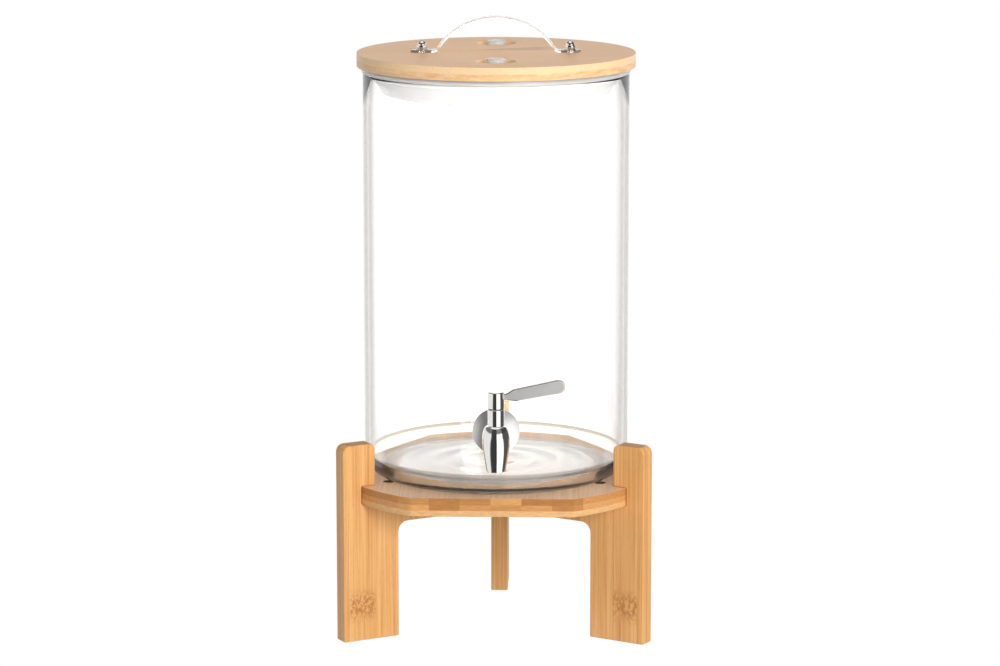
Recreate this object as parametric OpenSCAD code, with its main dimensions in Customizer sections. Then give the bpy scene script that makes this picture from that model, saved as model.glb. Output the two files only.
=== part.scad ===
// Countertop water dispenser: a glass jar with a lever tap and a bamboo lid, on a three-legged stand.
// Millimetres, +Z up. The origin is on the jar's axis at the height of the counter; the tap faces -Y.

/* [Jar] */
// Outside diameter of the glass jar
jar_d = 200; // [170:1:260]
// Height of the glass jar
jar_h = 305; // [220:1:400]
// Thickness of the jar's wall
jar_wall = 3.5; // [2.5:0.1:5]
// Thickness of the jar's floor at its heel
jar_floor = 5.5; // [4:0.5:14]
// Radius of the rounded heel outside
heel_r = 13.5; // [8:0.5:20]
// Height that the middle of the floor is pushed up
punt_h = 2.5; // [1:0.5:4]
// Width of the flat ring that the jar stands on, inside its heel
stand_ring = 12; // [8:0.5:20]
// Height of the tap's hole above the jar's underside
tap_hole_h = 51.5; // [45:0.5:90]

/* [Stand] */
// Height of a leg's upper end over the platform
leg_up_h = 32; // [20:1:60]
// Thickness of the leg planks
leg_t = 13; // [10:0.5:20]
// Width of a leg's upper end
leg_up_w = 26.5; // [20:0.5:36]
// Width of a leg below the platform
leg_w = 46; // [38:1:60]
// Gap between the jar and the upper end of a leg
leg_jar_gap = 6.5; // [3:0.5:10]
// Radius of a leg's upper corners
leg_corner_r = 6; // [2:0.5:10]
// Depth of the arm under the platform
arm_h = 16.5; // [12:0.5:25]
// Length of the arm, inwards from the leg
arm_l = 39; // [30:1:48]
// Radius of the fillet between arm and leg
arm_fillet = 8; // [4:0.5:14]
// Height of the platform's underside
platform_z = 105; // [80:1:160]
// Thickness of the platform board
platform_t = 14; // [10:0.5:20]
// Amount that the platform's round stretches stand out past the jar
platform_lap = 17.5; // [12:0.5:20]
// Amount that the platform's three flats stand out past the jar
flat_lap = 1; // [0:0.5:5]
// Angle that the stand is turned under the jar
stand_turn = -1.6; // [-12:0.1:12]

/* [Leg screws] */
// Distances of the two screws in each arm out from the leg's inner edge
screw_out = [4.5, -25];
// Diameter of the screw's shank
screw_d = 4; // [3:0.5:5]
// Depth that a screw reaches into the arm
screw_bite = 13; // [8:0.5:13]
// Diameter of the screw's head
screw_head_d = 8; // [6:0.5:9]
// Height of the screw's head
screw_head_h = 2.6; // [2:0.1:4]
// Depth that the head's seat is sunk into the platform
screw_sink = 5; // [3.5:0.5:8]

/* [Lid] */
// Amount that the lid board stands out past the jar
board_lap = 4.5; // [2:0.5:8]
// Thickness of the lid board
board_t = 10; // [8:0.5:16]
// Distance of a pouring port's centre from the jar's inner wall
port_inset = 34.5; // [28:0.5:45]
// Diameter of a port's upper recess
port_d = 30; // [24:0.5:34]
// Depth of a port's upper recess
port_recess = 6; // [4:0.5:7]
// Diameter of the hole below the recess
port_hole_d = 22; // [16:0.5:24]

/* [Seal] */
// Thickness of the seal's flange on the jar's rim
flange_t = 4.5; // [3:0.5:6]
// Amount that the flange stands past the jar
flange_lap = 1; // [0:0.5:2]
// Thickness of the seal's web under the board
web_t = 2.5; // [2:0.5:3]
// Depth of the seal's skirt inside the jar
skirt_h = 15.5; // [10:0.5:25]
// Amount that the skirt draws in from top to bottom
skirt_draw = 8.5; // [4:0.5:12]
// Thickness of the skirt
skirt_t = 3; // [2:0.5:4]

/* [Stoppers] */
// Diameter of a stopper's finger knob
knob_d = 14; // [10:0.5:18]
// Height of the knob above the lid
knob_rise = 2; // [0:0.5:5]
// Thickness of a stopper's flange
stopper_flange_t = 3; // [2:0.5:4]
// Depth of a stopper's plug below its flange
stopper_plug_h = 8; // [5:0.5:12]
// Thickness of the stopper's plug wall
stopper_wall = 2.5; // [2:0.5:4]

/* [Handle] */
// Distance between the points where the strap leaves the lid
strap_span = 93; // [70:1:100]
// Height of the strap over the lid
strap_rise = 26.5; // [20:0.5:40]
// Width of the strap
strap_w = 14; // [10:0.5:20]
// Thickness of the strap
strap_t = 1.5; // [1:0.1:2.5]
// Length of the flat foot at each end of the strap
foot_l = 17.5; // [16:0.5:22]
// Diameter of the handle's bolts
bolt_d = 4; // [3:0.5:5]
// Distance of a bolt back from the centre of its foot's round end
bolt_back = 1.5; // [0:0.5:3]
// Amount that the bolt's head stands out past its thread
bolt_head_lap = 2; // [1:0.1:3]
// Height of the bolt's head
bolt_head_h = 2.6; // [2:0.1:4]
// Wall of the cap nuts at their flats
nut_wall = 1.5; // [1:0.1:2.5]
// Height of the cap nuts
nut_h = 6.4; // [5.8:0.1:9]
// Height of the cap nut's six-sided part
nut_hex_h = 2.8; // [2:0.1:4]
// Thickness of the cap nut's roof over the thread
nut_roof = 1.8; // [1.5:0.1:2.5]
// Amount that the washers stand out past the bolt
washer_lap = 2.5; // [2:0.1:4]
// Thickness of the washers on the handle's bolts
washer_t = 0.6; // [0.5:0.1:1.2]

/* [Tap] */
// Distance from the jar's wall to the spout's axis
tap_reach = 34; // [30:0.5:42]
// Diameter of the threaded shank
shank_d = 14; // [11.5:0.5:17]
// Width of the shoulder between the shank and the neck
neck_shoulder = 1.5; // [1:0.1:2]
// Bore of the shank
shank_bore = 7.5; // [5:0.5:8]
// Wall of the upper barrel, which the lever's hub matches
barrel_wall = 1.35; // [1:0.05:2]
// Amount that the bulb stands out past the barrel
bulb_swell = 4.1; // [3:0.1:6]
// Height of the bulb's widest place above the shank's axis
bulb_up = 0.5; // [0:0.5:4]
// Height of the bulb's shoulder above the shank's axis
bulb_top_up = 11; // [9:0.5:14]
// Wall of the spout at its lower end
spout_wall = 1.5; // [1:0.1:2.5]
// Length of the upper barrel above the shank's axis
barrel_up = 23; // [20:0.5:28]
// Length of the spout below the shank's axis
spout_down = 23; // [20:0.5:30]
// Bore for the plug
plug_bore = 9.5; // [7.9:0.1:11.4]
// Amount that the outlet bore is wider than the plug's, all round
outlet_step = 0.85; // [0.7:0.05:1.1]
// Depth of the outlet bore
outlet_depth = 7.5; // [6:0.5:9]
// Amount that the clip's chamber is wider than the plug's bore, all round
chamber_step = 1.25; // [1.15:0.05:1.5]
// Height of that chamber
chamber_h = 3; // [2.5:0.5:3.5]
// Wall of the plug round its waterway
plug_wall = 1.7; // [1.5:0.1:2.2]
// Amount that the rosette stands out past the outer gasket
rosette_lap = 2.5; // [1:0.5:5]
// Height of the rosette's dome
rosette_h = 6; // [4:0.5:8]
// Height of the rosette's straight edge
rosette_edge = 1.6; // [1:0.1:2.5]
// Amount that the outer gasket stands out past the shank
gasket_lap = 8; // [5:0.5:9]
// Thickness of the outer gasket at its middle
gasket_t = 3; // [2.5:0.5:4]
// Amount that the inner gasket and washer stand out past the shank
inner_lap = 5; // [3.5:0.5:7]
// Thickness of the inner gasket at its middle
inner_gasket_t = 3; // [2:0.5:4]
// Thickness of the tap's steel washer
tap_washer_t = 1.2; // [1:0.1:2]
// Wall of the lock nut at its flats
lock_wall = 2.5; // [2:0.5:4]
// Thickness of the lock nut
lock_t = 5; // [4:0.5:7]
// Length of thread left free past the lock nut
shank_tail = 2.5; // [1:0.5:5]

/* [Lever] */
// Height of the lever's hub
hub_h = 12.4; // [10:0.1:16]
// Thickness of the washer under the hub
hub_washer_t = 0.6; // [0.4:0.1:1]
// Distance from the hub's axis to the tip of the lever
lever_l = 50; // [40:1:60]
// Length of the lever's neck between hub and blade
neck_l = 9; // [6:0.5:14]
// Height of the neck where it meets the hub
neck_h = 5.2; // [4:0.1:6.5]
// Thickness of the lever's blade
blade_t = 3.4; // [2.5:0.1:5]
// Height of the blade at its root
blade_root_h = 9.6; // [8:0.1:12]
// Height of the blade at its tip
blade_tip_h = 11.2; // [9:0.1:14]
// Roundness of the blade's tip, as a share of its depth there
tip_round = 0.45; // [0.1:0.05:0.5]
// Angle that the blade rises
blade_rise = 11; // [5:0.5:18]
// Width of the step from the plug to the stem in the hub
stem_step = 1.5; // [1:0.1:1.8]
// Depth of the stem's two flats
stem_flat = 0.7; // [0.4:0.1:0.9]
// Thickness of the hub's roof over the stem
hub_roof = 2.4; // [1.5:0.1:4]
// Thickness of the plug's O-rings
ring_w = 1.4; // [1.2:0.1:1.8]
// Heights of the O-rings above the shank's axis
ring_h = [8, 15];
// Thickness of the plug's clip
clip_t = 0.8; // [0.6:0.1:1.2]
// Diameter of the lever's set screw
set_d = 3; // [2.5:0.5:3]

/* [Fits] */
// Gap of a hole round its bolt, all round
bolt_gap = 0.25; // [0.1:0.05:0.4]
// Gap between wooden pieces at a joint
joint_gap = 0.3; // [0.1:0.1:0.5]
// Gap between the seal's skirt and the jar
seal_gap = 0.35; // [0.3:0.05:0.6]
// Gap between a stopper and its port, all round
stopper_gap = 0.35; // [0.3:0.05:0.6]
// Gap of the hole in the glass round the tap's shank, all round
tap_hole_gap = 1; // [0.5:0.1:2]
// Running gap between plug and barrel, all round
run_gap = 0.05; // [0.02:0.01:0.1]

/* [Hidden] */
$fn = 96;
eps = 0.01;

leg_angles = [210, 330, 90];
jar_r = jar_d / 2;
jar_in = jar_r - jar_wall;
platform_r = jar_r + platform_lap;
platform_flat = jar_r + flat_lap;
platform_top = platform_z + platform_t;
jar_z = platform_top;
rim_z = jar_z + jar_h;
board_z = rim_z + flange_t;
board_top = board_z + board_t;
web_z = board_z - web_t;

leg_h = platform_top + leg_up_h;
leg_in_up = jar_r + leg_jar_gap;
leg_reach = leg_in_up + leg_up_w;
leg_in_low = leg_reach - leg_w;
leg_inner_corner_r = 0.7 * leg_corner_r;
arm_in = leg_in_low - arm_l;
slot_r = platform_r + joint_gap;
screw_len = platform_t - screw_sink + screw_bite;
screw_reach = [for (out = screw_out) leg_in_low + out];

board_d = jar_d + 2 * board_lap;
port_reach = jar_in - port_inset;

foot_x = strap_span / 2;
bolt_x = foot_x + foot_l - strap_w / 2 - bolt_back;
arc_r = (foot_x * foot_x + strap_rise * strap_rise) / (2 * strap_rise);
arc_z = board_top + strap_rise - arc_r;
nut_z = board_top + strap_t + washer_t;
thread_top = nut_z + nut_h - nut_roof;
nut_af = bolt_d + 2 * nut_wall;
bolt_head_d = bolt_d + 2 * bolt_head_lap;
washer_d = bolt_d + 2 * washer_lap;
// the cross slot in the heads of screws and bolts
cross_w = 1;
cross_deep = 1.2;

tap_y = -(jar_r + tap_reach);
tap_z = jar_z + tap_hole_h;
barrel_top = tap_z + barrel_up;
spout_end = tap_z - spout_down;
tap_hole_d = shank_d + 2 * tap_hole_gap;
neck_d = shank_d + 2 * neck_shoulder;
gasket_d = shank_d + 2 * gasket_lap;
rosette_d = gasket_d + 2 * rosette_lap;
inner_d = shank_d + 2 * inner_lap;
lock_af = shank_d + 2 * lock_wall;
// how far past the glass the gaskets' curved faces are cut from
saddle = 3;
barrel_d = plug_bore + 2 * barrel_wall;
bulb_d = barrel_d + 2 * bulb_swell;
outlet_bore = plug_bore + 2 * outlet_step;
chamber_bore = plug_bore + 2 * chamber_step;
spout_d = outlet_bore + 2 * spout_wall;
chamber_z = spout_end + outlet_depth;
chamber_top = chamber_z + chamber_h;
rosette_y = -(jar_r + gasket_t);
neck_end_y = rosette_y - rosette_h;
inner_face_y = -jar_in + inner_gasket_t;
washer_face_y = inner_face_y + tap_washer_t;
lock_face_y = washer_face_y + lock_t;
shank_end_y = lock_face_y + shank_tail;

hub_z = barrel_top + hub_washer_t + run_gap;
hub_top = hub_z + hub_h;
plug_r = plug_bore / 2 - run_gap;
plug_way = 2 * (plug_r - plug_wall);
plug_top = barrel_top - run_gap;
stem_d = 2 * (plug_r - stem_step);
stem_af = stem_d - 2 * stem_flat;
clip_z = chamber_top - clip_t - run_gap;
clip_groove = 0.6;
plug_lip = 1.2;
plug_foot = clip_z - plug_lip;
stem_top = hub_top - hub_roof;
set_z = hub_z + 0.45 * hub_h;

// A square corner less its quarter circle, to cut a rounded corner; the corner points to +X +Y
module corner_cut(r) {
    difference() {
        translate([-r, -r]) square(r + eps);
        translate([-r, -r]) circle(r);
    }
}

// Turns a profile drawn as (distance from the axis, height) into a plank standing at an angle
module plank(angle, thickness) {
    rotate([0, 0, angle + stand_turn]) rotate([90, 0, 0])
        linear_extrude(height = thickness, center = true) children();
}

module leg_profile() {
    arm_z = platform_z - arm_h;
    difference() {
        translate([leg_in_low, 0]) square([leg_w, leg_h]);
        // the upper end stands back from the jar
        translate([leg_in_low - eps, platform_top])
            square([leg_in_up - leg_in_low + eps, leg_h - platform_top + eps]);
        // the slot takes the platform's edge
        translate([leg_in_low - eps, platform_z]) square([slot_r - leg_in_low + eps, platform_t]);
        translate([leg_reach, leg_h]) corner_cut(leg_corner_r);
        translate([leg_in_up, leg_h]) mirror([1, 0]) corner_cut(leg_inner_corner_r);
    }
    // the arm under the platform, with its fillet
    difference() {
        translate([arm_in, arm_z]) square([leg_in_low - arm_in + eps, arm_h]);
        translate([arm_in, arm_z]) mirror([1, 0]) mirror([0, 1]) corner_cut(leg_inner_corner_r);
    }
    difference() {
        translate([leg_in_low - arm_fillet, arm_z - arm_fillet]) square(arm_fillet + eps);
        translate([leg_in_low - arm_fillet, arm_z - arm_fillet]) circle(arm_fillet);
    }
}

module leg(i) {
    color("burlywood")
    difference() {
        plank(leg_angles[i], leg_t) leg_profile();
        rotate([0, 0, leg_angles[i] + stand_turn])
            for (r = screw_reach)
                translate([r, 0, platform_top - screw_sink - screw_len])
                    cylinder(d = screw_d, h = screw_len + screw_sink);
    }
}

module platform() {
    color("peru")
    rotate([0, 0, stand_turn])
    difference() {
        translate([0, 0, platform_z]) linear_extrude(height = platform_t)
            intersection() {
                circle(platform_r, $fn = 180);
                rotate([0, 0, 90]) circle(platform_flat * 2, $fn = 3);
            }
        for (a = leg_angles, r = screw_reach)
            rotate([0, 0, a]) translate([r, 0, 0]) {
                translate([0, 0, platform_z - 1])
                    cylinder(d = screw_d + 2 * bolt_gap, h = platform_t + 2);
                translate([0, 0, platform_top - screw_sink])
                    cylinder(d = screw_head_d + 2 * bolt_gap, h = screw_sink + 1);
            }
    }
}

// The cross slot of a head of the given diameter, cut downwards from z = 0
module cross_slot(head_d) {
    slot_l = 0.6 * head_d;
    for (a = [0, 90]) rotate([0, 0, a])
        translate([-slot_l / 2, -cross_w / 2, -cross_deep]) cube([slot_l, cross_w, cross_deep + 1]);
}

// One wood screw, head up, its head's underside at z = 0
module wood_screw() {
    point_d = 0.6;
    point_h = screw_d;
    difference() {
        union() {
            cylinder(d = screw_head_d, h = screw_head_h);
            translate([0, 0, point_h - screw_len]) cylinder(d = screw_d, h = screw_len - point_h);
            translate([0, 0, -screw_len]) cylinder(d1 = point_d, d2 = screw_d, h = point_h);
        }
        translate([0, 0, screw_head_h]) cross_slot(screw_head_d);
    }
}

module leg_screws() {
    color("silver")
    for (a = leg_angles, r = screw_reach)
        rotate([0, 0, a + stand_turn]) translate([r, 0, platform_top - screw_sink]) wood_screw();
}

// Half of the jar's section: wall, rounded rim, heel and pushed-up floor
module jar_profile() {
    heel_in_r = heel_r - jar_wall + 1.5;
    heel_in_x = jar_in - heel_in_r;
    rim_r = jar_wall / 2;
    difference() {
        union() {
            translate([0, heel_r]) square([jar_r, jar_h - heel_r - rim_r]);
            square([jar_r - heel_r, heel_r + eps]);
            translate([jar_r - heel_r, heel_r]) circle(heel_r);
        }
        translate([0, jar_floor + heel_in_r]) square([jar_in, jar_h]);
        translate([0, jar_floor]) square([heel_in_x, heel_in_r + eps]);
        translate([heel_in_x, jar_floor + heel_in_r]) circle(heel_in_r);
        polygon([[0, -eps], [jar_r - heel_r - stand_ring, -eps], [0, punt_h]]);
    }
    translate([jar_r - rim_r, jar_h - rim_r]) circle(rim_r);
    polygon([[0, jar_floor - eps], [heel_in_x, jar_floor - eps], [0, jar_floor + punt_h]]);
}

module glass_jar() {
    color("aliceblue", 0.4)
    difference() {
        translate([0, 0, jar_z]) rotate_extrude($fn = 180) jar_profile();
        along_y(-jar_r - saddle, -jar_in + saddle, tap_hole_d);
    }
}

// A bar along the shank's axis, from one place along Y to another
module along_y(y0, y1, d) {
    translate([0, y0, tap_z]) rotate([-90, 0, 0]) cylinder(d = d, h = y1 - y0);
}

// Half-width of the barrel at a height above the spout's end: a taper that swells to the bulb
bulb_at = spout_down + bulb_up;
bulb_top = spout_down + bulb_top_up;
taper_curve = 1.15;
function barrel_half(h) =
    h < bulb_at ? spout_d / 2 + (bulb_d - spout_d) / 2 * sin(90 * pow(h / bulb_at, taper_curve))
    : barrel_d / 2 + bulb_swell * sqrt(max(0, 1 - pow((h - bulb_at) / (bulb_top - bulb_at), 2)));

module tap_body() {
    steps = 9;
    low = [for (i = [0 : steps]) bulb_at * i / steps];
    high = [for (i = [1 : steps]) bulb_at + (bulb_top - bulb_at) * sin(90 * i / steps)];
    color("silver")
    difference() {
        union() {
            translate([0, tap_y, spout_end]) rotate_extrude()
                polygon(concat(
                    [[0, 0]], [for (h = concat(low, high)) [barrel_half(h), h]], [[0, bulb_top]]));
            translate([0, tap_y, tap_z]) cylinder(d = barrel_d, h = barrel_up);
            along_y(tap_y, neck_end_y, neck_d);
            along_y(neck_end_y - eps, shank_end_y, shank_d);
        }
        translate([0, tap_y, chamber_z]) cylinder(d = plug_bore, h = barrel_top - chamber_z + 1);
        translate([0, tap_y, chamber_z - eps]) cylinder(d = chamber_bore, h = chamber_h + eps);
        translate([0, tap_y, spout_end - 1]) cylinder(d = outlet_bore, h = outlet_depth + 1);
        along_y(tap_y, shank_end_y + 1, shank_bore);
    }
}

module tap_rosette() {
    dome_h = rosette_h - rosette_edge;
    half = rosette_d / 2;
    dome_r = (half * half + dome_h * dome_h) / (2 * dome_h);
    bore_r = shank_d / 2 + bolt_gap;
    color("silver")
    translate([0, rosette_y, tap_z]) rotate([90, 0, 0]) rotate_extrude()
        intersection() {
            translate([bore_r, 0]) square([half - bore_r, rosette_h]);
            translate([0, rosette_h - dome_r]) circle(dome_r, $fn = 180);
        }
}

module tap_outer_gasket() {
    color("whitesmoke")
    difference() {
        along_y(rosette_y, -jar_r + saddle, gasket_d);
        translate([0, 0, tap_z - gasket_d]) cylinder(r = jar_r, h = gasket_d * 2, $fn = 180);
        along_y(rosette_y - 1, -jar_r + saddle + 1, shank_d + 2 * bolt_gap);
    }
}

module tap_inner_gasket() {
    color("whitesmoke")
    difference() {
        intersection() {
            along_y(-jar_in - 1, inner_face_y, inner_d);
            translate([0, 0, tap_z - inner_d]) cylinder(r = jar_in, h = inner_d * 2, $fn = 180);
        }
        along_y(-jar_in - 2, inner_face_y + 1, shank_d + 2 * bolt_gap);
    }
}

module tap_washer() {
    color("silver")
    difference() {
        along_y(inner_face_y, washer_face_y, inner_d);
        along_y(inner_face_y - 1, washer_face_y + 1, shank_d + 2 * bolt_gap);
    }
}

module tap_lock_nut() {
    color("silver")
    difference() {
        translate([0, washer_face_y, tap_z]) rotate([-90, 0, 0])
            cylinder(d = lock_af / cos(30), h = lock_t, $fn = 6);
        along_y(washer_face_y - 1, lock_face_y + 1, shank_d);
    }
}

module hub_washer() {
    hub_washer_in = 0.4;
    color("dimgray")
    translate([0, tap_y, barrel_top])
    difference() {
        cylinder(d = barrel_d - 2 * hub_washer_in, h = hub_washer_t);
        translate([0, 0, -1]) cylinder(d = stem_d + 4 * bolt_gap, h = hub_washer_t + 2);
    }
}

// The stem's section: a circle with two flats
module stem_section(gap) {
    intersection() {
        circle(d = stem_d + 2 * gap);
        square([stem_d * 2, stem_af + 2 * gap], center = true);
    }
}

// The blade's side view, drawn with the hub's axis at x = 0
module blade_profile() {
    start_x = stem_d / 2 + 1;
    root_x = barrel_d / 2 + neck_l;
    tip_r = tip_round * blade_tip_h;
    tip_x = lever_l / cos(blade_rise) - tip_r;
    tip_half = blade_tip_h / 2;
    root_half = blade_root_h / 2;
    polygon([[start_x, -neck_h / 2], [root_x, -root_half], [tip_x, -tip_half],
        [tip_x, tip_half], [root_x, root_half], [start_x, neck_h / 2]]);
    translate([tip_x - eps, -tip_half + tip_r]) square([tip_r + eps, blade_tip_h - 2 * tip_r]);
    for (s = [-1, 1]) translate([tip_x, s * (tip_half - tip_r)]) circle(tip_r);
}

module tap_lever() {
    round_r = 1.2;
    color("silver")
    translate([0, tap_y, hub_z])
    difference() {
        union() {
            rotate_extrude() difference() {
                square([barrel_d / 2, hub_h]);
                translate([barrel_d / 2, hub_h]) corner_cut(round_r);
            }
            translate([0, 0, 0.57 * hub_h]) rotate([0, -blade_rise, 0]) rotate([90, 0, 0])
                linear_extrude(height = blade_t, center = true) blade_profile();
        }
        translate([0, 0, -1]) linear_extrude(height = stem_top - hub_z + 1 + run_gap)
            stem_section(run_gap);
        translate([0, 0, set_z - hub_z]) rotate([-90, 0, 0]) cylinder(d = set_d, h = barrel_d);
    }
}

module lever_set_screw() {
    seat_y = stem_af / 2 + run_gap;
    inset = 0.5;
    key_af = 1.5;
    key_floor = 1.2;
    color("dimgray")
    translate([0, tap_y + seat_y, set_z]) rotate([-90, 0, 0])
    difference() {
        cylinder(d = set_d, h = barrel_d / 2 - seat_y - inset);
        translate([0, 0, key_floor]) cylinder(d = key_af / cos(30), h = barrel_d, $fn = 6);
    }
}

module valve_plug() {
    groove_r = plug_r - ring_w - eps;
    color("lightgray")
    translate([0, tap_y, 0])
    difference() {
        union() {
            translate([0, 0, plug_foot]) cylinder(r = plug_r, h = plug_top - plug_foot);
            translate([0, 0, plug_top - eps])
                linear_extrude(height = stem_top - plug_top) stem_section(0);
        }
        // the waterway: up the middle, then out to the side that the barrel closes at rest
        translate([0, 0, plug_foot - 1]) cylinder(d = plug_way, h = tap_z - plug_foot + 1);
        translate([0, 0, tap_z]) rotate([0, -90, 0]) cylinder(d = plug_way, h = plug_r + 1);
        for (h = ring_h) translate([0, 0, tap_z + h - ring_w / 2 - run_gap]) difference() {
            cylinder(r = plug_r + 1, h = ring_w + 2 * run_gap);
            translate([0, 0, -1]) cylinder(r = groove_r, h = ring_w + 2);
        }
        translate([0, 0, clip_z]) difference() {
            cylinder(r = plug_r + 1, h = clip_t);
            translate([0, 0, -1]) cylinder(r = plug_r - clip_groove, h = clip_t + 2);
        }
    }
}

module plug_o_rings() {
    color("dimgray")
    for (h = ring_h)
        translate([0, tap_y, tap_z + h]) rotate_extrude()
            translate([plug_r - ring_w / 2, 0]) circle(d = ring_w, $fn = 32);
}

// A snap ring in the plug's lower groove, open towards +X
module plug_clip() {
    mouth = 2.4;
    clip_in = 0.3;
    color("silver")
    translate([0, tap_y, clip_z])
    difference() {
        cylinder(d = chamber_bore - 2 * clip_in, h = clip_t);
        translate([0, 0, -1]) cylinder(r = plug_r - clip_groove, h = clip_t + 2);
        translate([0, -mouth / 2, -1]) cube([chamber_bore, mouth, clip_t + 2]);
    }
}

// The holes that the handle's bolts pass through, with the given gap
module bolt_holes(z, h, gap) {
    for (s = [-1, 1]) translate([s * bolt_x, 0, z - 1]) cylinder(d = bolt_d + 2 * gap, h = h + 2);
}

module lid_board() {
    color("burlywood")
    difference() {
        translate([0, 0, board_z]) cylinder(d = board_d, h = board_t, $fn = 180);
        for (s = [-1, 1]) translate([0, s * port_reach, 0]) {
            translate([0, 0, board_z - 1]) cylinder(d = port_hole_d, h = board_t + 2);
            translate([0, 0, board_top - port_recess]) cylinder(d = port_d, h = port_recess + 1);
        }
        bolt_holes(board_z, board_t, bolt_gap);
    }
}

// Half of the seal's section: flange on the rim, web under the board, tapered skirt in the jar
module seal_profile() {
    skirt_r = jar_in - seal_gap;
    flange_r = jar_r + flange_lap;
    straight_z = rim_z - 3;
    foot_r = skirt_r - skirt_draw;
    foot_z = rim_z - skirt_h;
    root_r = skirt_r - skirt_t - 1;
    polygon([[0, web_z], [0, board_z], [flange_r, board_z], [flange_r, rim_z], [skirt_r, rim_z],
        [skirt_r, straight_z], [foot_r, foot_z], [foot_r - skirt_t, foot_z], [root_r, straight_z],
        [root_r, web_z]]);
}

module lid_seal() {
    color("whitesmoke", 0.8)
    difference() {
        rotate_extrude($fn = 180) seal_profile();
        for (s = [-1, 1]) translate([0, s * port_reach, web_z - 1])
            cylinder(d = port_hole_d, h = web_t + 2);
        bolt_holes(web_z, web_t, bolt_gap);
    }
}

module handle_strap() {
    color("aliceblue", 0.5)
    difference() {
        union() {
            rotate([90, 0, 0]) linear_extrude(height = strap_w, center = true)
                intersection() {
                    translate([0, arc_z]) difference() {
                        circle(arc_r, $fn = 180);
                        circle(arc_r - strap_t, $fn = 180);
                    }
                    translate([-arc_r, board_top]) square([arc_r * 2, strap_rise + 1]);
                }
            for (s = [0, 1]) mirror([s, 0, 0]) translate([0, 0, board_top]) {
                translate([foot_x - strap_t, -strap_w / 2, 0])
                    cube([foot_l - strap_w / 2 + strap_t, strap_w, strap_t]);
                translate([foot_x + foot_l - strap_w / 2, 0, 0]) cylinder(d = strap_w, h = strap_t);
            }
        }
        bolt_holes(board_top, strap_t, bolt_gap);
    }
}

module handle_bolts() {
    head_z = web_z - washer_t;
    end_gap = 0.4;
    color("silver")
    for (s = [-1, 1]) translate([s * bolt_x, 0, 0]) difference() {
        union() {
            translate([0, 0, head_z - bolt_head_h]) cylinder(d = bolt_head_d, h = bolt_head_h);
            translate([0, 0, head_z - eps]) cylinder(d = bolt_d, h = thread_top - head_z - end_gap);
        }
        translate([0, 0, head_z - bolt_head_h]) mirror([0, 0, 1]) cross_slot(bolt_head_d);
    }
}

module handle_washer(z) {
    for (s = [-1, 1]) translate([s * bolt_x, 0, z]) difference() {
        cylinder(d = washer_d, h = washer_t);
        translate([0, 0, -1]) cylinder(d = bolt_d + 2 * bolt_gap, h = washer_t + 2);
    }
}

module bolt_washers() {
    color("silver") handle_washer(web_z - washer_t);
}

module nut_washers() {
    color("silver") handle_washer(board_top + strap_t);
}

module cap_nuts() {
    dome_r = 0.47 * nut_af;
    color("silver")
    for (s = [-1, 1]) translate([s * bolt_x, 0, nut_z]) difference() {
        union() {
            cylinder(d = nut_af / cos(30), h = nut_hex_h, $fn = 6);
            cylinder(r = dome_r, h = nut_h - dome_r);
            translate([0, 0, nut_h - dome_r]) sphere(dome_r);
        }
        translate([0, 0, -1]) cylinder(d = bolt_d, h = thread_top - nut_z + 1);
    }
}

// A soft stopper: a flange in the port's recess, a hollow plug below it and a finger knob above it
module stopper(side) {
    seat_z = board_top - port_recess;
    flange_d = port_d - 2 * stopper_gap;
    plug_d = port_hole_d - 2 * stopper_gap;
    color("whitesmoke", 0.8)
    translate([0, side * port_reach, 0])
    difference() {
        union() {
            translate([0, 0, seat_z]) cylinder(d = flange_d, h = stopper_flange_t);
            translate([0, 0, seat_z - stopper_plug_h]) cylinder(d = plug_d, h = stopper_plug_h + eps);
            translate([0, 0, seat_z]) cylinder(d = knob_d, h = board_top + knob_rise - seat_z);
        }
        translate([0, 0, seat_z - stopper_plug_h - 1])
            cylinder(d = plug_d - 2 * stopper_wall, h = stopper_plug_h);
    }
}

platform();
leg(0);  // leg_left
leg(1);  // leg_right
leg(2);  // leg_rear
leg_screws();
glass_jar();
tap_body();
tap_rosette();
tap_outer_gasket();
tap_inner_gasket();
tap_washer();
tap_lock_nut();
hub_washer();
tap_lever();
valve_plug();
plug_o_rings();
plug_clip();
lever_set_screw();
lid_board();
lid_seal();
handle_strap();
handle_bolts();
bolt_washers();
nut_washers();
cap_nuts();
stopper(-1);  // stopper_front
stopper(1);  // stopper_rear
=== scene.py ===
import math
import bmesh
import bpy
from mathutils import Matrix, Vector


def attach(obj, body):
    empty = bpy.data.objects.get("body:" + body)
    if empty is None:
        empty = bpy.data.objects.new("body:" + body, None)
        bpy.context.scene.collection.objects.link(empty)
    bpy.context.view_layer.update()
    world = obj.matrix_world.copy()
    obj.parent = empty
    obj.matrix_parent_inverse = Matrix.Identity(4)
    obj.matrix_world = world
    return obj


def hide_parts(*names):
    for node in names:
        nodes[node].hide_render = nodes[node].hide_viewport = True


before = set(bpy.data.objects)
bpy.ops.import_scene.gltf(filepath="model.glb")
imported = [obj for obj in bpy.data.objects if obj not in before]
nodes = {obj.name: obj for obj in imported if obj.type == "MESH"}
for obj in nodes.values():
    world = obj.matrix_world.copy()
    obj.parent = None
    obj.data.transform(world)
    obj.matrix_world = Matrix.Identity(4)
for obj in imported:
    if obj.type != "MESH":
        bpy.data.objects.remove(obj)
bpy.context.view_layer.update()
scene = bpy.context.scene
turnStand = math.radians(-1.6)  # the stand sits slightly turned under the jar
cutPast = 0.001  # how far a cutter reaches past the faces that it opens
edgeBreak = 0.0003  # the small bevel on turned edges
print("frame loaded:", len(nodes), "nodes")


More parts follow.
